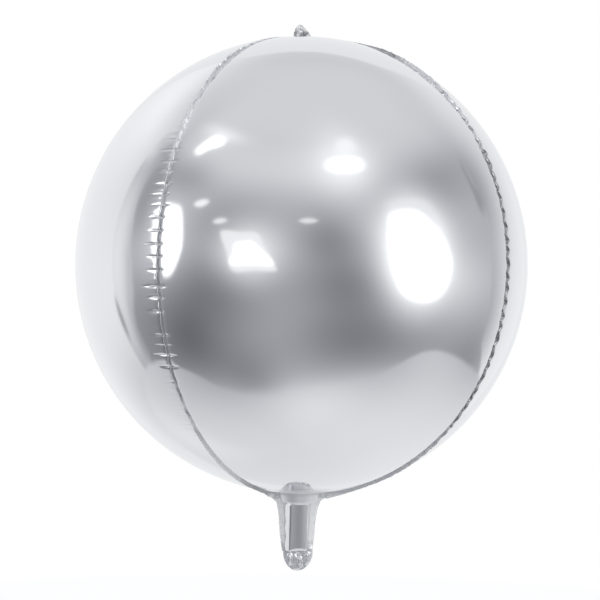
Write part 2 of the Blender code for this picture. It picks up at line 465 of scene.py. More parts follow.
# soft patch: the part it belongs to, azimuth and elevation, half sizes, change of tone, flatness
PATCHES = {
    "unlit_side": ("studio", -36.4, -28.3, 118.4, 31.1, -0.52, 5),
    "unlit_top": ("studio", 27.8, 15.4, 115.8, 16.6, -0.3, 3),
    "left_shade": ("studio", -33.0, -24.6, 25.8, 39.6, -2.04, 2),
    "right_shade": ("studio", 23.8, -3.8, 24.9, 13.0, -0.29, 2),
    "low_shade": ("studio", 55.2, -31.5, 178.2, 18.6, -0.21, 2),
    "low_glow": ("studio", -36.1, -27.3, 29.7, 30.6, 2.39, 2),
    "big_lamp_glow": ("studio", 53.6, 6.1, 15.1, 18.7, 1.51, 2),
    "upper_right_glow": ("studio", 25.0, 41.6, 17.9, 15.9, 0.41, 2),
    "upper_left_glow": ("studio", -59.0, 54.1, 16.4, 3.0, 0.27, 2),
    "window_glow": ("studio", -25.0, 4.7, 15.7, 14.1, 0.77, 2),
    "upper_right_shade": ("studio", 67.5, 34.5, 65.8, 12.3, -0.46, 2),
    "upper_left_shade": ("studio", -65.8, 34.2, 19.7, 9.4, -0.41, 2),
    "left_wall_shade": ("studio", -86.3, 22.8, 11.5, 25.5, -0.42, 2),
    "right_wall_shade": ("studio", 106.2, -21.9, 25.4, 38.8, -0.36, 2),
    "middle_shade": ("studio", 11.9, 12.3, 16.0, 11.4, -0.25, 2),
    "left_deep_shade": ("studio", -55.0, -27.6, 22.9, 25.0, -0.72, 2),
    "reveal_glow": ("reveal", -97.1, 1.1, 18.0, 53.6, 1.19, 2),
    "reveal_foot": ("reveal", -89.4, -23.2, 3.0, 10.0, -0.32, 2),
    "reveal_head": ("reveal", -115.2, 37.0, 16.6, 4.9, 0.84, 2),
    "left_far_glow": ("booth", -116.6, 46.3, 51.1, 21.7, 0.98, 2),
    "right_edge_shade": ("booth", 94.0, 27.8, 32.0, 17.9, -0.44, 2),
    "left_foot_shade": ("booth", -98.5, -38.4, 41.3, 16.2, -0.26, 2),
    "right_foot_shade": ("booth", 98.7, -39.3, 17.2, 53.7, -0.64, 2),
    "high_shade": ("booth", -91.3, 46.7, 79.6, 23.7, -1.02, 2),
    "floor_front_shade": ("floor", 11.5, -39.2, 72.5, 24.9, -1.19, 2),
    "floor_right_shade": ("floor", 104.6, 7.1, 42.2, 44.6, -1.69, 2),
    "floor_right_glow": ("floor", 92.5, -24.3, 57.8, 36.3, 0.9, 2),
    "floor_front_glow": ("floor", 10.3, -48.8, 47.2, 22.4, 0.68, 2),
    "floor_left_glow": ("floor", -129.9, -51.7, 16.3, 15.8, 0.1, 2),
}
# azimuth and elevation of the floor's edge, and azimuth and softness of that edge
FLOOR_EDGE = {
    -180: -45, -150: -42, -125: -38, -110: -35, -96.6: -32.6, -87.6: -33.4, -79: -36, -73.4: -39.6,
    -68.3: -42.8, -63.2: -46.6, -57.9: -51, -51.5: -54.1, -43.6: -56.8, -30.6: -58, -18.3: -58.6,
    -7.4: -57.9, 2.9: -56.8, 22.8: -53.8, 33.3: -51.2, 42.6: -48.4, 49.8: -45.1, 56.5: -40.7, 62: -36.6,
    67.4: -33.1, 72.2: -31.2, 77.8: -30, 84.8: -29.5, 93.8: -29.1, 105.1: -28.5, 116.4: -27.1, 125.8: -25.4,
    150: -30, 180: -45}
FLOOR_SOFTNESS = {-180: 1.0, -60: 1.0, -30: 4.0, 45: 3.0, 65: 0.8, 180: 0.8}
# elevation and azimuth of the front edge of the left and of the right wall
LEFT_EDGE = {
    -90: -101, -37: -100.5, -32.5: -93.0, -29.7: -90.5, -25.4: -90.4, -20.5: -90.9, -15.9: -89.7,
    -8.9: -86.7, 0.3: -86.1, 5.6: -87.4, 11.1: -87.9, 16.7: -89.2, 21.0: -89.9, 26.1: -90.4, 35.4: -90.2,
    40.1: -85.1, 90: -80}
LEFT_SOFTNESS = {-90: 2.5, -10: 2.5, 5: 0.8, 90: 0.8}
RIGHT_EDGE = {
    -90: 118, -26: 122, -21.2: 107.5, -16.6: 104.9, -8.1: 102.3, 2.6: 100.7, 9.3: 101.6, 13.5: 103.3,
    35: 102, 90: 102}
REVEAL_EDGE = -100.5
EDGE_SOFTNESS = 0.8


def room_material():
    material, place = new_material("room_tones")
    turned = add_node("ShaderNodeVectorRotate", {"Vector": place, "Angle": -CAMERA_AZIMUTH * DEGREE},
                      rotation_type="Z_AXIS")
    x, y, z = parts_of(add_node("ShaderNodeVectorMath", {0: turned}, operation="NORMALIZE"))
    azimuth = turn_of(x, -y) / DEGREE
    elevation = arc_sine(z) / DEGREE

    tones = dict(STUDIO_TONES)
    for part, across, up, half_across, half_up, change, flatness in PATCHES.values():
        sideways = azimuth - across
        sideways = sideways - 360 * whole(sideways / 360 + 0.5)
        reach = (sideways / half_across) ** 2 + ((elevation - up) / half_up) ** 2
        tones[part] = tones[part] + change * exponential(-1 * reach ** (flatness / 2))

    # The parts run into the ceiling above, and meet in sharp edges below it
    ceiling = eased(elevation, 36, 58)
    studio = tones["studio"] + (CEILING - STUDIO_TONES["studio"]) * ceiling
    booth = tones["booth"] + (CEILING - STUDIO_TONES["booth"]) * ceiling * eased(y, 0.85, 0.34)
    softness = read_off(LEFT_SOFTNESS, elevation)
    after_left = eased((azimuth - read_off(LEFT_EDGE, elevation)) / softness, -1, 1)
    before_right = eased(azimuth - read_off(RIGHT_EDGE, elevation), EDGE_SOFTNESS, -EDGE_SOFTNESS)
    high = eased(elevation, 34, 46)
    low_tone = chosen(after_left * before_right, booth, studio)
    high_tone = chosen(eased(y, 0.45, -0.07), booth, studio)
    reveal = eased(azimuth - REVEAL_EDGE, -EDGE_SOFTNESS, EDGE_SOFTNESS) * (1 - after_left) * (1 - high)
    tone = chosen(reveal, chosen(high, low_tone, high_tone), tones["reveal"])

    # The white sheet hangs behind the balloon, and the floor closes the booth from below
    behind = most(y, 0.001)
    aside = size_of(x / behind - SHEET_MIDDLE) / SHEET_HALF_WIDTH
    sheet = aside ** 5 + (most(z / behind, 0) / SHEET_HEIGHT) ** 5
    tone = chosen(eased(sheet, 1.12, 0.9) * (y > 0), tone, BACK_SHEET)
    over_floor = (elevation - read_off(FLOOR_EDGE, azimuth)) / read_off(FLOOR_SOFTNESS, azimuth)
    tone = chosen(eased(over_floor, 1, -1), tone, tones["floor"])
    return finish_material(material, grey_glow(most(tone, 0.02)), glows=True)


# %% The room, the floor and the background
FLOOR_HEIGHT = -2.0
FLOOR_REACH = 7.0


def floor_material():
    """Greyer under the balloon, and white towards the edge."""
    material, place = new_material("pale_floor")
    x, y, _ = parts_of(place)
    whiter = eased(root(x * x + y ** 2), 2.0, FLOOR_REACH * 0.9)
    return finish_material(material, grey_glow(0.88 + 0.12 * whiter), glows=True)


sphere = bmesh.new()
bmesh.ops.create_uvsphere(sphere, u_segments=96, v_segments=48, radius=ROOM_RADIUS)
bmesh.ops.reverse_faces(sphere, faces=sphere.faces)
stage_object("room", sphere, room_material(), seen=False).shade_smooth()
disc = bmesh.new()
bmesh.ops.create_circle(disc, cap_ends=True, segments=96, radius=FLOOR_REACH)
bmesh.ops.translate(disc, verts=disc.verts, vec=(0, 0, FLOOR_HEIGHT))
stage_object("floor", disc, floor_material())
world = bpy.data.worlds.new("white_studio")
world.use_nodes = True
backdrop = world.node_tree.nodes["Background"]
backdrop.inputs["Color"].default_value = (1, 1, 1, 1)
backdrop.inputs["Strength"].default_value = 1.0
bpy.context.scene.world = world
bpy.context.scene.view_settings.view_transform = "Standard"
print("room of", ROOM_RADIUS, "m radius, floor", -FLOOR_HEIGHT, "m below the ball")

# %% [markdown]
# Lamps
#
# Each bright patch on the ball is a soft lamp: a small sheet just inside the room, laid out from
# the spots of the picture that its reflection fills. Two of the sheets are grey flags, which make
# the dark streaks.

# %% Soft lamps
LAMP_DISTANCE = 1.75
LAMP_SPACING = 0.01
LAMP_RINGS = 8
LAMP_SPOKES = 40
# name: strength, soft edge as a share, and the outline of the reflection in the picture
LAMPS = {
    "lamp_upper_left": (1.7, 0.5, ((191, 153), (196, 158), (210, 151), (226, 146), (230, 137), (218, 133),
        (206, 139), (196, 147))),
    "lamp_upper_right": (1.7, 0.6, ((320, 167), (323, 159), (334, 155), (352, 154), (366, 158), (370, 167),
        (360, 174), (340, 175), (327, 173))),
    "lamp_upper_right_halo": (1.15, 0.8, ((330, 152), (331, 142), (338, 134), (352, 134), (360, 142),
        (362, 152), (350, 160), (338, 160))),
    "lamp_small_left": (1.15, 0.5, ((192, 203.5), (198, 199.5), (208, 197.5), (211.5, 202), (203, 207.5),
        (195, 208))),
    "lamp_small_middle": (1.05, 0.5, ((211, 221), (217, 217.5), (226, 217.5), (230, 221), (222, 224),
        (214, 224))),
    "lamp_small_right": (1.0, 0.4, ((296, 221), (303, 218), (313, 218), (321, 221), (312, 223.5),
        (303, 223.5))),
    "lamp_window": (1.04, 0.12, ((219, 230), (240, 230.5), (258, 232), (266, 246), (277, 266), (277, 272),
        (254, 272), (231, 272), (225, 252))),
    "lamp_window_core": (1.9, 0.2, ((234, 243), (243, 241), (253, 241), (263, 250), (276, 265), (254, 265),
        (229, 265), (232, 252))),
    "lamp_big_top": (0.98, 0.5, ((383, 199), (405, 196), (430, 198), (440, 212), (444, 228), (415, 236),
        (384, 232), (380, 215))),
    "lamp_big": (1.9, 0.2, ((387, 212), (400, 206), (419, 208), (434, 221), (448, 241), (455, 263),
        (450, 288), (438, 303), (420, 306), (401, 297), (391, 275), (386, 250), (385, 228))),
    "flag_left": (0.42, 0.6, ((112.5, 293), (114.5, 292), (120, 308), (126, 324), (132.5, 345),
        (130.5, 345.5), (123, 330), (116.5, 312))),
    "flag_right": (0.4, 0.6, ((455, 156), (459, 157), (469, 175), (480, 192), (487, 208), (487.5, 221),
        (482, 219), (476, 203), (467, 182))),
    "lamp_tall": (1.6, 0.18, ((150.5, 230), (153, 214), (158, 205), (167, 200), (181, 202), (184.5, 213),
        (184.5, 242), (180, 260), (173, 276), (166, 281), (158, 276), (152, 262), (150, 246))),
}


def lamp_material():
    material, place = new_material("lamp_glow")
    reach, light, edge = (add_node("ShaderNodeAttribute", out="Fac", tree=place.tree, attribute_name=name)
                          for name in ("reach", "light", "soft_edge"))
    clear = add_node("ShaderNodeBsdfTransparent", tree=place.tree)
    mixed = {0: eased((1 - reach) / edge, 0, 1), 1: clear, 2: grey_glow(light)}
    return finish_material(material, add_node("ShaderNodeMixShader", mixed), glows=True)


def round_outline(corners):
    """One point for each spoke, along a smooth closed line through the corners."""
    points = [Vector(corner) for corner in corners]
    line = []
    for spoke in range(LAMP_SPOKES):
        first, share = divmod(spoke * len(points) / LAMP_SPOKES, 1)
        a, b, c, d = (points[(int(first) + shift) % len(points)] for shift in (-1, 0, 1, 2))
        line.append(0.5 * (2 * b + (c - a) * share + (2 * a - 5 * b + 4 * c - d) * share ** 2
                           + (3 * b - a - 3 * c + d) * share ** 3))
    return line


def lamp(name, light, soft_edge, corners, material, distance):
    """A sheet whose reflection fills this outline of the picture."""
    body = bmesh.new()
    reach = body.verts.layers.float.new("reach")
    outline = round_outline(corners)
    middle = sum(outline, Vector((0, 0))) / LAMP_SPOKES
    centre = body.verts.new(room_place(*middle, distance))
    rings = []
    for ring in range(1, LAMP_RINGS + 1):
        share = ring / LAMP_RINGS
        verts = [body.verts.new(room_place(*middle.lerp(point, share), distance)) for point in outline]
        for vert in verts:
            vert[reach] = share
        rings.append(verts)
    for spoke in range(LAMP_SPOKES):
        following = (spoke + 1) % LAMP_SPOKES
        body.faces.new((centre, rings[0][spoke], rings[0][following]))
        for inner, outer in zip(rings, rings[1:]):
            body.faces.new((inner[spoke], outer[spoke], outer[following], inner[following]))
    mesh = stage_object(name, body, material, seen=False)
    for label, value in (("light", light), ("soft_edge", soft_edge)):
        mesh.attributes.new(label, "FLOAT", "POINT").data.foreach_set("value", [value] * len(mesh.vertices))


lamp_glow = lamp_material()
for number, (name, settings) in enumerate(LAMPS.items()):
    lamp(name, *settings, lamp_glow, LAMP_DISTANCE - LAMP_SPACING * number)
print(len(LAMPS), "lamps and flags")

# %% [markdown]
# The foil
#
# Metallised film is a mirror of aluminium under a clear skin, so its reflections are a little
# greyer and softer than the room. Wrinkles too fine to model go into a faint bump and, where the
# neck gathers the film, into haze; there a painted shade also darkens the foil's grey. The welds
# are pressed dull, their grey partly painted shade, with painted highlights at the top and on the
# left, and beside the neck they are half clear.

# %% Foil materials
GRAIN_DEPTH = 0.00002
# heights between which the haze low on the ball sets in, and between which the neck begins
HAZE_HEIGHTS = (-0.184, -0.198)
NECK_HEIGHTS = (-0.2105, -0.213)
HAZE = 0.3
HAZE_ON_STRIP = 0.7
# the gathered film above the neck: height of its middle, half sizes, more haze, and painted shade that
# darkens its grey
GATHER_HEIGHT = -0.203
GATHER_HALF_WIDTH = 0.026
GATHER_HALF_HEIGHT = 0.017
GATHER_HAZE = 0.14
GATHER_PAINTED_SHADE = 0.1


def skin(material, colour, metallic, roughness, grain, alpha=1.0):
    """End a material of the balloon: its shader, with fine grain as a bump."""
    bump = add_node("ShaderNodeBump", {"Strength": 1.0, "Distance": GRAIN_DEPTH, "Height": grain})
    return finish_material(material, add_node("ShaderNodeBsdfPrincipled", {
        "Base Color": tinted(*colour), "Metallic": metallic, "Roughness": roughness, "Alpha": alpha,
        "Normal": bump}))


def foil_material(name, colour, roughness, grain_scale, cracked=0.0):
    """A mirror with soft clouds, hazy round the neck's root, with a painted shade darkening it just above the
    neck, and greyer where it is cracked.
    """
    material, place = new_material(name)
    x, _, height = parts_of(place)
    aside = x - NECK_SHIFT
    on_strip = eased(size_of(aside), NECK_STRIP_HALF_WIDTH + 0.0002, NECK_STRIP_HALF_WIDTH - 0.0008)
    clean = eased(height, *NECK_HEIGHTS) * (1 - HAZE_ON_STRIP * on_strip)
    haze = HAZE * eased(height, *HAZE_HEIGHTS) * (1 - clean)
    off_middle = (aside / GATHER_HALF_WIDTH) ** 2 + ((height - GATHER_HEIGHT) / GATHER_HALF_HEIGHT) ** 2
    gathered = eased(root(off_middle), 1.1, 0.6) * eased(height, -0.206, GATHER_HEIGHT)
    haze = haze + GATHER_HAZE * gathered
    # painted shade: the foil's grey is darkened just above the neck
    left = 1 - GATHER_PAINTED_SHADE * gathered
    if cracked:
        left = 1 - cracked * eased(clouds(place, 210.0, 1.0), 0.42, 0.58)
    cloud = clouds(place, 14.0, 3.0)
    return skin(material, [channel * left for channel in colour], 1.0,
                roughness * (0.8 + 0.4 * cloud) + haze, clouds(place, grain_scale, 2.0))


def weld_material():
    """Pressed foil, milky below. Its grey is partly its own and partly painted shade along the seams; painted
    highlights make it paler at the top and on the left, and more painted shade darkens it on the left just
    above the neck.
    """
    material, place = new_material("pressed_weld")
    x, _, height = parts_of(place)
    milky = eased(height, -0.12, -0.155)
    # painted highlight: the weld is paler near the top and on the left
    high = eased(height, 0.08, 0.115) * (1 - eased(x, 0, 0.03) * eased(height, 0.17, 0.185))
    pale = most(most(high, milky), 0.55 * eased(x, 0.05, -0.05))
    on_tail = eased(height, -0.246, -0.256)
    # painted shade: darker on the left, on the fins just above the neck
    shade = 0.42 * eased(height, -0.176, -0.19) * eased(height, -0.208, -0.198) * eased(x, 0, -0.02)
    # the grey is partly the pressed weld's own and partly painted shade along the seams
    grey = (0.48 + 0.42 * pale) * (1 - shade)
    metallic = 1 - (0.6 + 0.2 * eased(x, 0, 0.05)) * milky + 0.4 * on_tail
    roughness = 0.2 + 0.18 * milky - 0.2 * on_tail
    alpha = 1 - 0.5 * eased(height, -0.196, -0.208) + 0.3 * on_tail
    grain = clouds(place, 500.0, 2.0) * (1 - 0.7 * milky)
    return skin(material, (grey, grey * 1.008, grey * 1.03), metallic, roughness, grain, alpha)


foil = foil_material("foil", (0.82, 0.823, 0.838), 0.085, 60)
weld = weld_material()
crumple = foil_material("crumpled_foil", (0.86, 0.865, 0.875), 0.1, 500, cracked=0.5)
print("foil, weld and crumpled foil ready")

# %% [markdown]
# The shape of the film, as formulas
#
# A cut through the ball from top to bottom is nearly a circle, which turns down in a short funnel
# where the neck hangs on it. The film leaves that profile beside each seam, in a valley and in the
# puckers.

# %% Formulas of the film
def profile(polar):
    """Radius and height of the ball at a polar angle, and the way outwards there."""
    angle = polar * DEGREE
    in_funnel = polar > FUNNEL_START
    start_radius = BALL_RADIUS * math.sin(FUNNEL_START * DEGREE)
    share = clipped((polar - FUNNEL_START) / (NECK_MOUTH - FUNNEL_START))
    inward = 1 - (1 - least(share / FUNNEL_CORNER, 1)) ** 2
    fall = (most(share - FUNNEL_CORNER, 0) / (1 - FUNNEL_CORNER)) ** 1.5
    on_ball = start_radius - (start_radius - FUNNEL_RADIUS) * inward
    radius = chosen(in_funnel, BALL_RADIUS * sine(angle), on_ball - (FUNNEL_RADIUS - MOUTH_RADIUS) * fall)
    side = root(1 - (on_ball / BALL_RADIUS) ** 2)
    height = BALL_HALF_HEIGHT * chosen(in_funnel, cosine(angle), -1 * side) - FUNNEL_DROP * fall
    bend = share * (math.pi / 2)
    out_step = chosen(in_funnel, BALL_RADIUS * cosine(angle), (MOUTH_RADIUS - start_radius) * cosine(bend))
    flank = BALL_HALF_HEIGHT / BALL_RADIUS ** 2 * radius / side * out_step
    down_step = chosen(in_funnel, -1 * BALL_HALF_HEIGHT * sine(angle), flank - FUNNEL_DROP * sine(bend))
    length = root(out_step * out_step + down_step * down_step)
    return radius, height, -1 * down_step / length, out_step / length


def seam_azimuth(polar):
    """Angle of a seam from the middle of the front or back panel."""
    share = clipped((polar - SEAM_SPREAD_START) / (NECK_MOUTH - SEAM_SPREAD_START))
    return SEAM_AZIMUTH + (90 - SEAM_AZIMUTH) * share * share


def valley(radius, distance):
    full = least(radius / VALLEY_FULL_RADIUS, 1)
    return VALLEY_DEPTH * full * full * bell(distance / VALLEY_WIDTH)


def pucker_fade(run):
    """Puckers are strongest round the middle and die out towards the top and the neck."""
    return eased(run, 8, 18) * eased(run, 50, 43)


def groove_fade(run):
    """The long creases are only found round the middle."""
    return eased(run, 17, 24) * eased(run, 42, 38)


def pucker_place(run, seam):
    """The pucker at this run: its number, how far off its crease, polar angle, strength, wave."""
    number = whole(run + 0.5)
    offset = run - number
    strength, length, shift = dice(number, seam)
    crowded = offset * (0.4 + 1.2 * size_of(offset))
    loose = eased(run, 2, 5) * eased(run, PUCKERS - 2, PUCKERS - 5)
    moved = number + crowded + PUCKER_SHIFT * loose * (shift - 0.5) * (1 - 2 * size_of(offset))
    moved = moved + PUCKER_DRIFT * loose * soft_noise(moved * 0.4 + seam * 53.7)
    measured = seam < 0.5
    moved = chosen(measured, moved, read_off(CREASE_PLACES, number + crowded))
    strength = chosen(measured, strength * groove_fade(run), read_off(CREASE_STRENGTHS, number))
    polar = FILM_TOP + PUCKER_PITCH * moved
    bulge = 1 - 2 * (root(crowded * crowded + 0.01) - 0.1)
    return number, crowded, polar, strength, bulge * bulge * (0.7 + 0.6 * length)


def sway(run, seam, wave):
    """How far a seam strays sideways: at random, and in a wave that turns at each crease."""
    return (WANDER * soft_noise(run * 1.05 + seam * 91.3) + wave) * (0.25 + 0.75 * pucker_fade(run))


def pucker(run, number, crowded, strength, seam, side, distance, grooves, scallops):
    """Depth beside a seam: scallops along it, a groove away from each crease, and fine ripples."""
    pitch = PUCKER_PITCH * DEGREE * BALL_RADIUS
    scallop = (1 - 2 * size_of(crowded)) ** 2 * bell(distance / SCALLOP_WIDTH)
    _, length, weight = dice(number, seam + 0.25 + 0.5 * side)
    reach = GROOVE_REACH * (0.7 + 0.3 * weight) + GROOVE_EXTRA_REACH * length ** 3
    away = least(distance / (reach * (0.65 + 0.95 * side)), 1)
    width = GROOVE_WIDTH * (0.45 + 1.5 * away * (1 - away))
    groove = bell(crowded * pitch / width) * (0.5 + 1.5 * away) * (1 - away * away) ** 2
    ripple = soft_noise(run * 3.7 + seam * 29.3, 1.0) * bell(distance / RIPPLE_REACH)
    depth = GROOVE_DEPTH * groove * strength + RIPPLE_DEPTH * ripple * side
    return SCALLOP_DEPTH * scallops * (0.6 + 0.6 * strength) * scallop + grooves * depth


# %% [markdown]
# Four panels by one rule
#
# Geometry Nodes lays a flat grid on the ball: each point asks how far along and how far from its
# seam it is, and the formulas say how deep it lies. A pucker's random size comes from its number
# and its seam's, so the two panels that share a seam crease together. The columns crowd towards the
# seams, where the creases are.

# %% Geometry Nodes helpers
def new_rule(name, numbers):
    """Start a rule: its named inputs, a flat grid, and each point's share of the way across and down."""
    tree = bpy.data.node_groups.new(name, "GeometryNodeTree")
    for way in ("OUTPUT", "INPUT"):
        tree.interface.new_socket(name="Geometry", in_out=way, socket_type="NodeSocketGeometry")
    for label, value in numbers.items():
        kind = "NodeSocketInt" if isinstance(value, int) else "NodeSocketFloat"
        tree.interface.new_socket(name=label, in_out="INPUT", socket_type=kind).default_value = value
    tree.interface.new_socket(name="Finish", in_out="INPUT", socket_type="NodeSocketMaterial")
    start = add_node("NodeGroupInput", tree=tree)
    given = {label: start.other(label) for label in (*numbers, "Finish")}
    grid = add_node("GeometryNodeMeshGrid", {
        "Size X": 1.0, "Size Y": 1.0, "Vertices X": given["Columns"], "Vertices Y": given["Rows"]})
    x, y, _ = parts_of(add_node("GeometryNodeInputPosition", tree=tree))
    return given, grid, x + 0.5, 0.5 - y


def end_rule(given, grid, x, y, z, closed=False):
    """Move the grid's points to these places, and join those that meet in a closed body."""
    shape = add_node("GeometryNodeSetPosition", {"Geometry": grid, "Position": combined(x, y, z)})
    if closed:
        shape = add_node("GeometryNodeMergeByDistance", {"Geometry": shape, "Distance": 0.00001})
    smooth = add_node("GeometryNodeSetShadeSmooth", {"Geometry": shape})
    done = add_node("GeometryNodeSetMaterial", {"Geometry": smooth, "Material": given["Finish"]})
    add_node("NodeGroupOutput", {"Geometry": done})
    return done.tree


def made_by(tree, name, numbers, finish, thickness=0.0, offset=0.0):
    """Run a rule once, give a sheet its thickness and keep the result as a plain mesh."""
    carrier = bpy.data.objects.new(name + "_rule", bpy.data.meshes.new(name + "_rule"))
    collection.objects.link(carrier)
    rule = carrier.modifiers.new("rule", "NODES")
    rule.node_group = tree
    numbers = {**numbers, "Finish": finish}
    for item in tree.interface.items_tree:
        if item.in_out == "INPUT" and item.name in numbers:
            rule[item.identifier] = numbers[item.name]
    if thickness:
        wall = carrier.modifiers.new("wall", "SOLIDIFY")
        wall.thickness = thickness
        wall.offset = offset
    mesh = bpy.data.meshes.new_from_object(carrier.evaluated_get(bpy.context.evaluated_depsgraph_get()))
    bpy.data.objects.remove(carrier, do_unlink=True)
    mesh.name = name
    body = bmesh.new()
    body.from_mesh(mesh)
    bmesh.ops.recalc_face_normals(body, faces=body.faces)
    open_edges = sum(not edge.is_manifold for edge in body.edges)
    body.to_mesh(mesh)
    body.free()
    piece = bpy.data.objects.new(name, mesh)
    collection.objects.link(piece)
    print(name, len(mesh.polygons), "faces", open_edges, "open edges",
          [round(size * 1000, 1) for size in piece.dimensions], "mm")
    return piece


# %% Formulas of the neck
def neck_profile(drop):
    """Half width and height of the neck, a drop below its mouth."""
    mouth_radius, mouth_height, _, _ = profile(NECK_MOUTH)
    half_width = NECK_TOP_HALF_WIDTH + (NECK_END_HALF_WIDTH - NECK_TOP_HALF_WIDTH) * (drop / NECK_LENGTH)
    half_width = half_width + (mouth_radius - NECK_TOP_HALF_WIDTH) * exponential(-1 * drop / NECK_FLARE_REACH)
    return half_width, mouth_height - drop


def neck_depth(across, half_width, drop):
    """Round at the mouth, then a nearly flat strip between steep flanks."""
    aside = size_of(across) * half_width
    flank = NECK_FLANK_SLOPE * least(half_width - aside, half_width - NECK_STRIP_HALF_WIDTH)
    strip = NECK_STRIP_RISE * most(1 - (aside / NECK_STRIP_HALF_WIDTH) ** 2, 0)
    at_mouth = exponential(-1 * drop / NECK_ROUND_REACH)
    return chosen(at_mouth, flank + strip, half_width * root(1 - across * across))


def neck_shift(drop):
    """How far the tube lies to the right of the neck's middle."""
    return NECK_SHIFT * eased(drop, 0, NECK_SHIFT_REACH)


def neck_closing(drop, across):
    """The tube closes at its end, along a line that arches up in the middle."""
    start = NECK_LENGTH - NECK_CLOSING + NECK_ARCH * across * across
    share = clipped((drop - start) / (NECK_LENGTH - start))
    return NECK_PRESSED_SHARE + (1 - NECK_PRESSED_SHARE) * root(1 - share * share)


# %% The rule for a panel
CROWDING = 2.5
NECK_ROWS = 80
BALL_ROWS = PUCKERS * ROWS_PER_PUCKER + 1
HANDS = ("Left", "Right")


def panel_rule():
    given, grid, across, down = new_rule("panel_rule", {
        "Columns": 56, "Rows": BALL_ROWS, "Facing": 0.0, "Puckers": float(PUCKERS), "Ball share": 1.0,
        "Front or back": 1.0, **{hand + " " + label: 1.0 for hand in HANDS for label in SEAM_NUMBERS}})
    right_half = across > 0.5

    def nearer(label):
        """The number of the seam on this half of the panel."""
        return chosen(right_half, given["Left " + label], given["Right " + label])

    lean = (right_half * 2 - 1) * (1 - (1 - size_of(across * 2 - 1)) ** CROWDING)
    run = least(down / given["Ball share"], 1) * given["Puckers"]
    left = pucker_place(run, given["Left Seam"])
    right = pucker_place(run, given["Right Seam"])
    number, crowded = left[:2]
    polar = chosen(eased(lean, -0.6, 0.6), left[2], right[2])
    strength = chosen(right_half, left[3], right[3])
    wave = chosen(right_half, left[4] * given["Left Wave"], right[4] * given["Right Wave"])
    seam = nearer("Seam")
    radius, height, out, up = profile(polar)
    seam_angle = seam_azimuth(polar)
    half_angle = chosen(given["Front or back"], 90 - seam_angle, seam_angle)
    half_angle = half_angle * DEGREE - 0.25 * FIN_THICKNESS / radius
    distance = half_angle * (1 - size_of(lean)) * radius
    strong = (nearer("Grooves"), nearer("Scallops"))
    depth = pucker(run, number, crowded, strength, seam, right_half, distance, *strong)
    depth = depth * pucker_fade(run) + valley(radius, distance)
    strayed = sway(run, seam, wave) * exponential(-1 * distance / WANDER_REACH)
    facing = given["Facing"] * DEGREE
    azimuth = facing + half_angle * lean + strayed / radius
    flat = combined(radius * sine(azimuth), radius * cosine(azimuth), height)
    depth = depth + (clouds(flat, 16.0, 1.0) - 0.5) * SLACK
    shrunk = radius - depth * out
    ball_place = (shrunk * sine(azimuth), -1 * shrunk * cosine(azimuth), height - depth * up)

    drop = most(down - given["Ball share"], 0) / (1.0001 - given["Ball share"]) * NECK_LENGTH
    half_width, level = neck_profile(drop)
    aside = sine((math.pi / 2 - 0.25 * FIN_THICKNESS / half_width) * lean)
    half_depth = neck_depth(aside, half_width, drop) * neck_closing(drop, aside)
    front = cosine(facing)
    neck_place = (front * half_width * aside + neck_shift(drop), -1 * front * half_depth, level)
    on_neck = down > given["Ball share"]
    place = (chosen(on_neck, *pair) for pair in zip(ball_place, neck_place))
    return end_rule(given, grid, *place)


panel_tree = panel_rule()
# panel: facing, front or back, the seams on its left and right
PANELS = {
    "front": (0.0, 1.0, "front_left", "front_right"),
    "right": (90.0, 0.0, "front_right", "back_right"),
    "back": (180.0, 1.0, "back_right", "back_left"),
    "left": (270.0, 0.0, "back_left", "front_left"),
}
for side, (facing, front_or_back, *seams) in PANELS.items():
    numbers = {"Facing": facing, "Front or back": front_or_back}
    for hand, seam in zip(HANDS, seams):
        numbers.update({hand + " " + label: value for label, value in zip(SEAM_NUMBERS, SEAMS[seam][2:])})
    if front_or_back:
        numbers["Rows"] = BALL_ROWS + NECK_ROWS
        numbers["Ball share"] = (BALL_ROWS - 1) / (BALL_ROWS - 1 + NECK_ROWS)
    else:
        numbers["Puckers"] = SIDE_PUCKERS
    film = made_by(panel_tree, "film_" + side, numbers, foil, FILM_THICKNESS, -1)
    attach(film, "root")
    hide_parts("panel_" + side)

# %% [markdown]
# Four fins by another rule
#
# The weld ruffles: it leans from side to side, and its free edge dips where a crease pulls it in.
# The fin's rule shares its run along the seam with the film's.

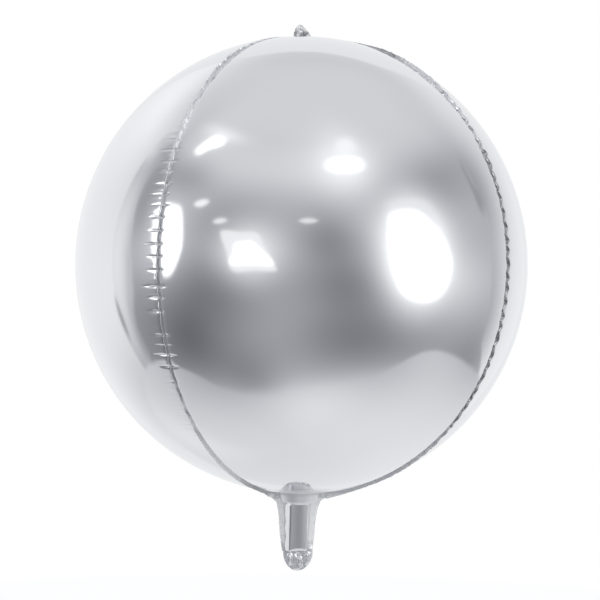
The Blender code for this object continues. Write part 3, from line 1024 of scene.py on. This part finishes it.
# %% The rule for a fin
def fin_rule(heights):
    given, grid, across, down = new_rule("fin_rule", {
        "Columns": 6, "Rows": 2 * BALL_ROWS - 1, "Azimuth": 45.0, "Spread": 1.0, "Lean": 0.0,
        **{label: 1.0 for label in SEAM_NUMBERS}})
    seam = given["Seam"]
    run = down * SIDE_PUCKERS
    number, crowded, polar, strength, wave = pucker_place(run, seam)
    wave = wave * given["Wave"]
    radius, height, out, up = profile(polar)
    azimuth = (given["Azimuth"] + given["Spread"] * (seam_azimuth(polar) - SEAM_AZIMUTH)) * DEGREE
    fade = pucker_fade(run)
    strong = (given["Grooves"], given["Scallops"])
    dip = fade * pucker(run, number, crowded, strength, seam, 0.0, 0.0, *strong)
    foot = -1 * valley(radius, 0.0) - dip - FIN_ROOT
    stands = read_off(heights, run)
    tip = stands * (1 - FIN_PULL * size_of(wave) * fade) - 0.9 * dip
    tip = tip + stands * 0.2 * eased(run, 56, 50) * soft_noise(run * 2.3 + seam * 17.1, 1.0)
    raised = foot + (tip - foot) * across
    ruffle = soft_noise(run * 1.0 + seam * 33.3) * stands * 0.28
    crinkle = soft_noise(run * 2.2 + seam * 71.9, 2.0) * 0.0015 * (1 - 0.9 * fade) * eased(run, 56, 14)
    lean = sway(run, seam, wave) + across * across * (ruffle + crinkle)
    lean = lean + across * stands * sine(given["Lean"] * DEGREE)
    reach = radius + raised * out
    x = reach * sine(azimuth) + lean * cosine(azimuth)
    y = -1 * reach * cosine(azimuth) + lean * sine(azimuth)
    return end_rule(given, grid, x, y, height + raised * up)


for place, (azimuth, fin_lean, *numbers) in SEAMS.items():
    spread = math.copysign(1, azimuth) * (1 if abs(azimuth) < 90 else -1)
    fin = made_by(fin_rule(FIN_HEIGHTS[place]), "fin_" + place, {
        "Azimuth": azimuth, "Spread": spread, "Lean": fin_lean, **dict(zip(SEAM_NUMBERS, numbers))},
        weld, FIN_THICKNESS, 0)
    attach(fin, "root")
    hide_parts("seam_" + place)

# %% [markdown]
# The neck's margins, its tail and the tuft
#
# Beside the neck the weld is a flat margin. Below the neck the front and the back are pressed into
# a rounded tail, and at the top the panels' ends are gathered into a tuft. Both are closed: their
# rules bend a grid round until its sides meet, draw both its ends together and join the points that
# touch.

# %% The rule for a margin of the neck
def margin_rule(edge):
    given, grid, across, down = new_rule("margin_rule", {
        "Columns": 13, "Rows": 160, "Side": 1.0, "Seam": 4.0})
    drop = MARGIN_TOP + (NECK_LENGTH - MARGIN_TOP - 0.0002) * down
    inside, _ = neck_profile(most(drop, 0))
    _, level = neck_profile(drop)
    inside = inside + given["Side"] * neck_shift(drop) - 0.0002 - 0.65 * least(drop, 0)
    ragged = 0.0002 * soft_noise(down * 9 + given["Seam"] * 7.7, 1.0)
    outside = read_off(edge, drop) + ragged
    aside = inside + (outside - inside) * across
    bend = 0.0005 * soft_noise(down * 7 + given["Seam"] * 3.1) + 0.0012 * eased(drop, 0, 0.006)
    return end_rule(given, grid, given["Side"] * aside, across * bend, level)


for place, side in (("left", -1.0), ("right", 1.0)):
    margin = made_by(margin_rule(MARGIN_EDGES[place]), "neck_margin_" + place, {
        "Side": side, "Seam": 4.0 + side}, weld, MARGIN_THICKNESS, 0)
    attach(margin, "root")
    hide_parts("neck_weld_" + place)


# %% Crumpled foil
def crumpled(scale, *place):
    """Random height with crisp edges, from 0 to about 1."""
    return add_node("ShaderNodeTexVoronoi", {"Vector": combined(*place), "Scale": scale}, "Distance")


# %% The rule for the tail
def tail_rule():
    given, grid, across, down = new_rule("tail_rule", {
        "Columns": 129, "Rows": 110, "Length": TAIL_LENGTH, "Half width": TAIL_HALF_WIDTH,
        "Half depth": TAIL_HALF_DEPTH, "Crumple": TAIL_CRUMPLE})
    turn = across * (2 * math.pi)
    below = (given["Length"] + TAIL_TUCK) * down - TAIL_TUCK
    share = clipped(below / given["Length"])
    drawn_in = eased(down, -0.0001, 0.02)
    tucked = 1 - 0.03 * eased(below, 0.0004, -0.0002)
    half_width = given["Half width"] * root(1 - share * share) * tucked * drawn_in
    blown = (given["Half depth"] - TAIL_PRESSED_HALF_DEPTH) * eased(share, 0.0, 0.4)
    half_depth = (TAIL_PRESSED_HALF_DEPTH + blown) * root(1 - share ** 4) * drawn_in
    x = half_width * sine(turn)
    y = -1 * half_depth * cosine(turn)
    fold = given["Crumple"] * (crumpled(190, x, 0.3, below) - 0.4)
    for place, middle, half_length, width, depth in TAIL_CREASES.values():
        fold = fold + depth * bell((x - place) / width) * bell((below - middle) / half_length)
    inside = eased(size_of(x) / (half_width + 0.00001), 1.0, 0.7) * eased(below, 0.0, 0.003)
    level = neck_profile(NECK_LENGTH)[1] - below
    return end_rule(given, grid, x, y + fold * inside, level, closed=True)


tail = made_by(tail_rule(), "tail", {}, weld)
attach(tail, "root")
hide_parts("tail_tab")


# %% The rule for the tuft
def tuft_rule():
    given, grid, across, down = new_rule("tuft_rule", {
        "Columns": 161, "Rows": 110, "Height": TUFT_HEIGHT, "Crumple": TUFT_CRUMPLE})
    turn = across * (2 * math.pi)
    rise = most(1 - down / TUFT_FOOT, 0)
    under = most(down - TUFT_FOOT, 0) / (1 - TUFT_FOOT)
    toward_seam = ((1 - cosine(4 * turn)) / 2) ** 6
    radius = read_off(TUFT_OUTLINE, rise) * (1 + 0.16 * sine(turn) + 0.09 * cosine(turn * 5 + rise * 4))
    radius = radius + TUFT_RIDGE * toward_seam * exponential(rise * -5)
    for place, level, width, reach, depth in TUFT_FOLDS.values():
        aside = turn_of(sine(turn - place), cosine(turn - place))
        radius = radius - depth * bell(aside / width) * bell((rise - level) / reach)
    spot = (radius * sine(turn), radius * cosine(turn), rise * given["Height"])
    dent = crumpled(160, *spot) - 0.3 + 0.4 * (crumpled(320, *spot) - 0.3)
    radius = radius - given["Crumple"] * dent * root(1 - rise * rise)
    radius = most(radius, TUFT_CORE) * (1 - under) * eased(down, -0.0001, 0.01)
    x = TUFT_PLACE[0] + radius * sine(turn) - 0.0008 * rise
    y = TUFT_PLACE[1] - radius * cosine(turn)
    top = BALL_HALF_HEIGHT - (x * x + y * y) / (2 * BALL_RADIUS) + TUFT_PLACE[2]
    return end_rule(given, grid, x, y, top + given["Height"] * rise, closed=True)


tuft = made_by(tuft_rule(), "gathered_top", {}, crumple)
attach(tuft, "root")
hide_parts("top_tuft")
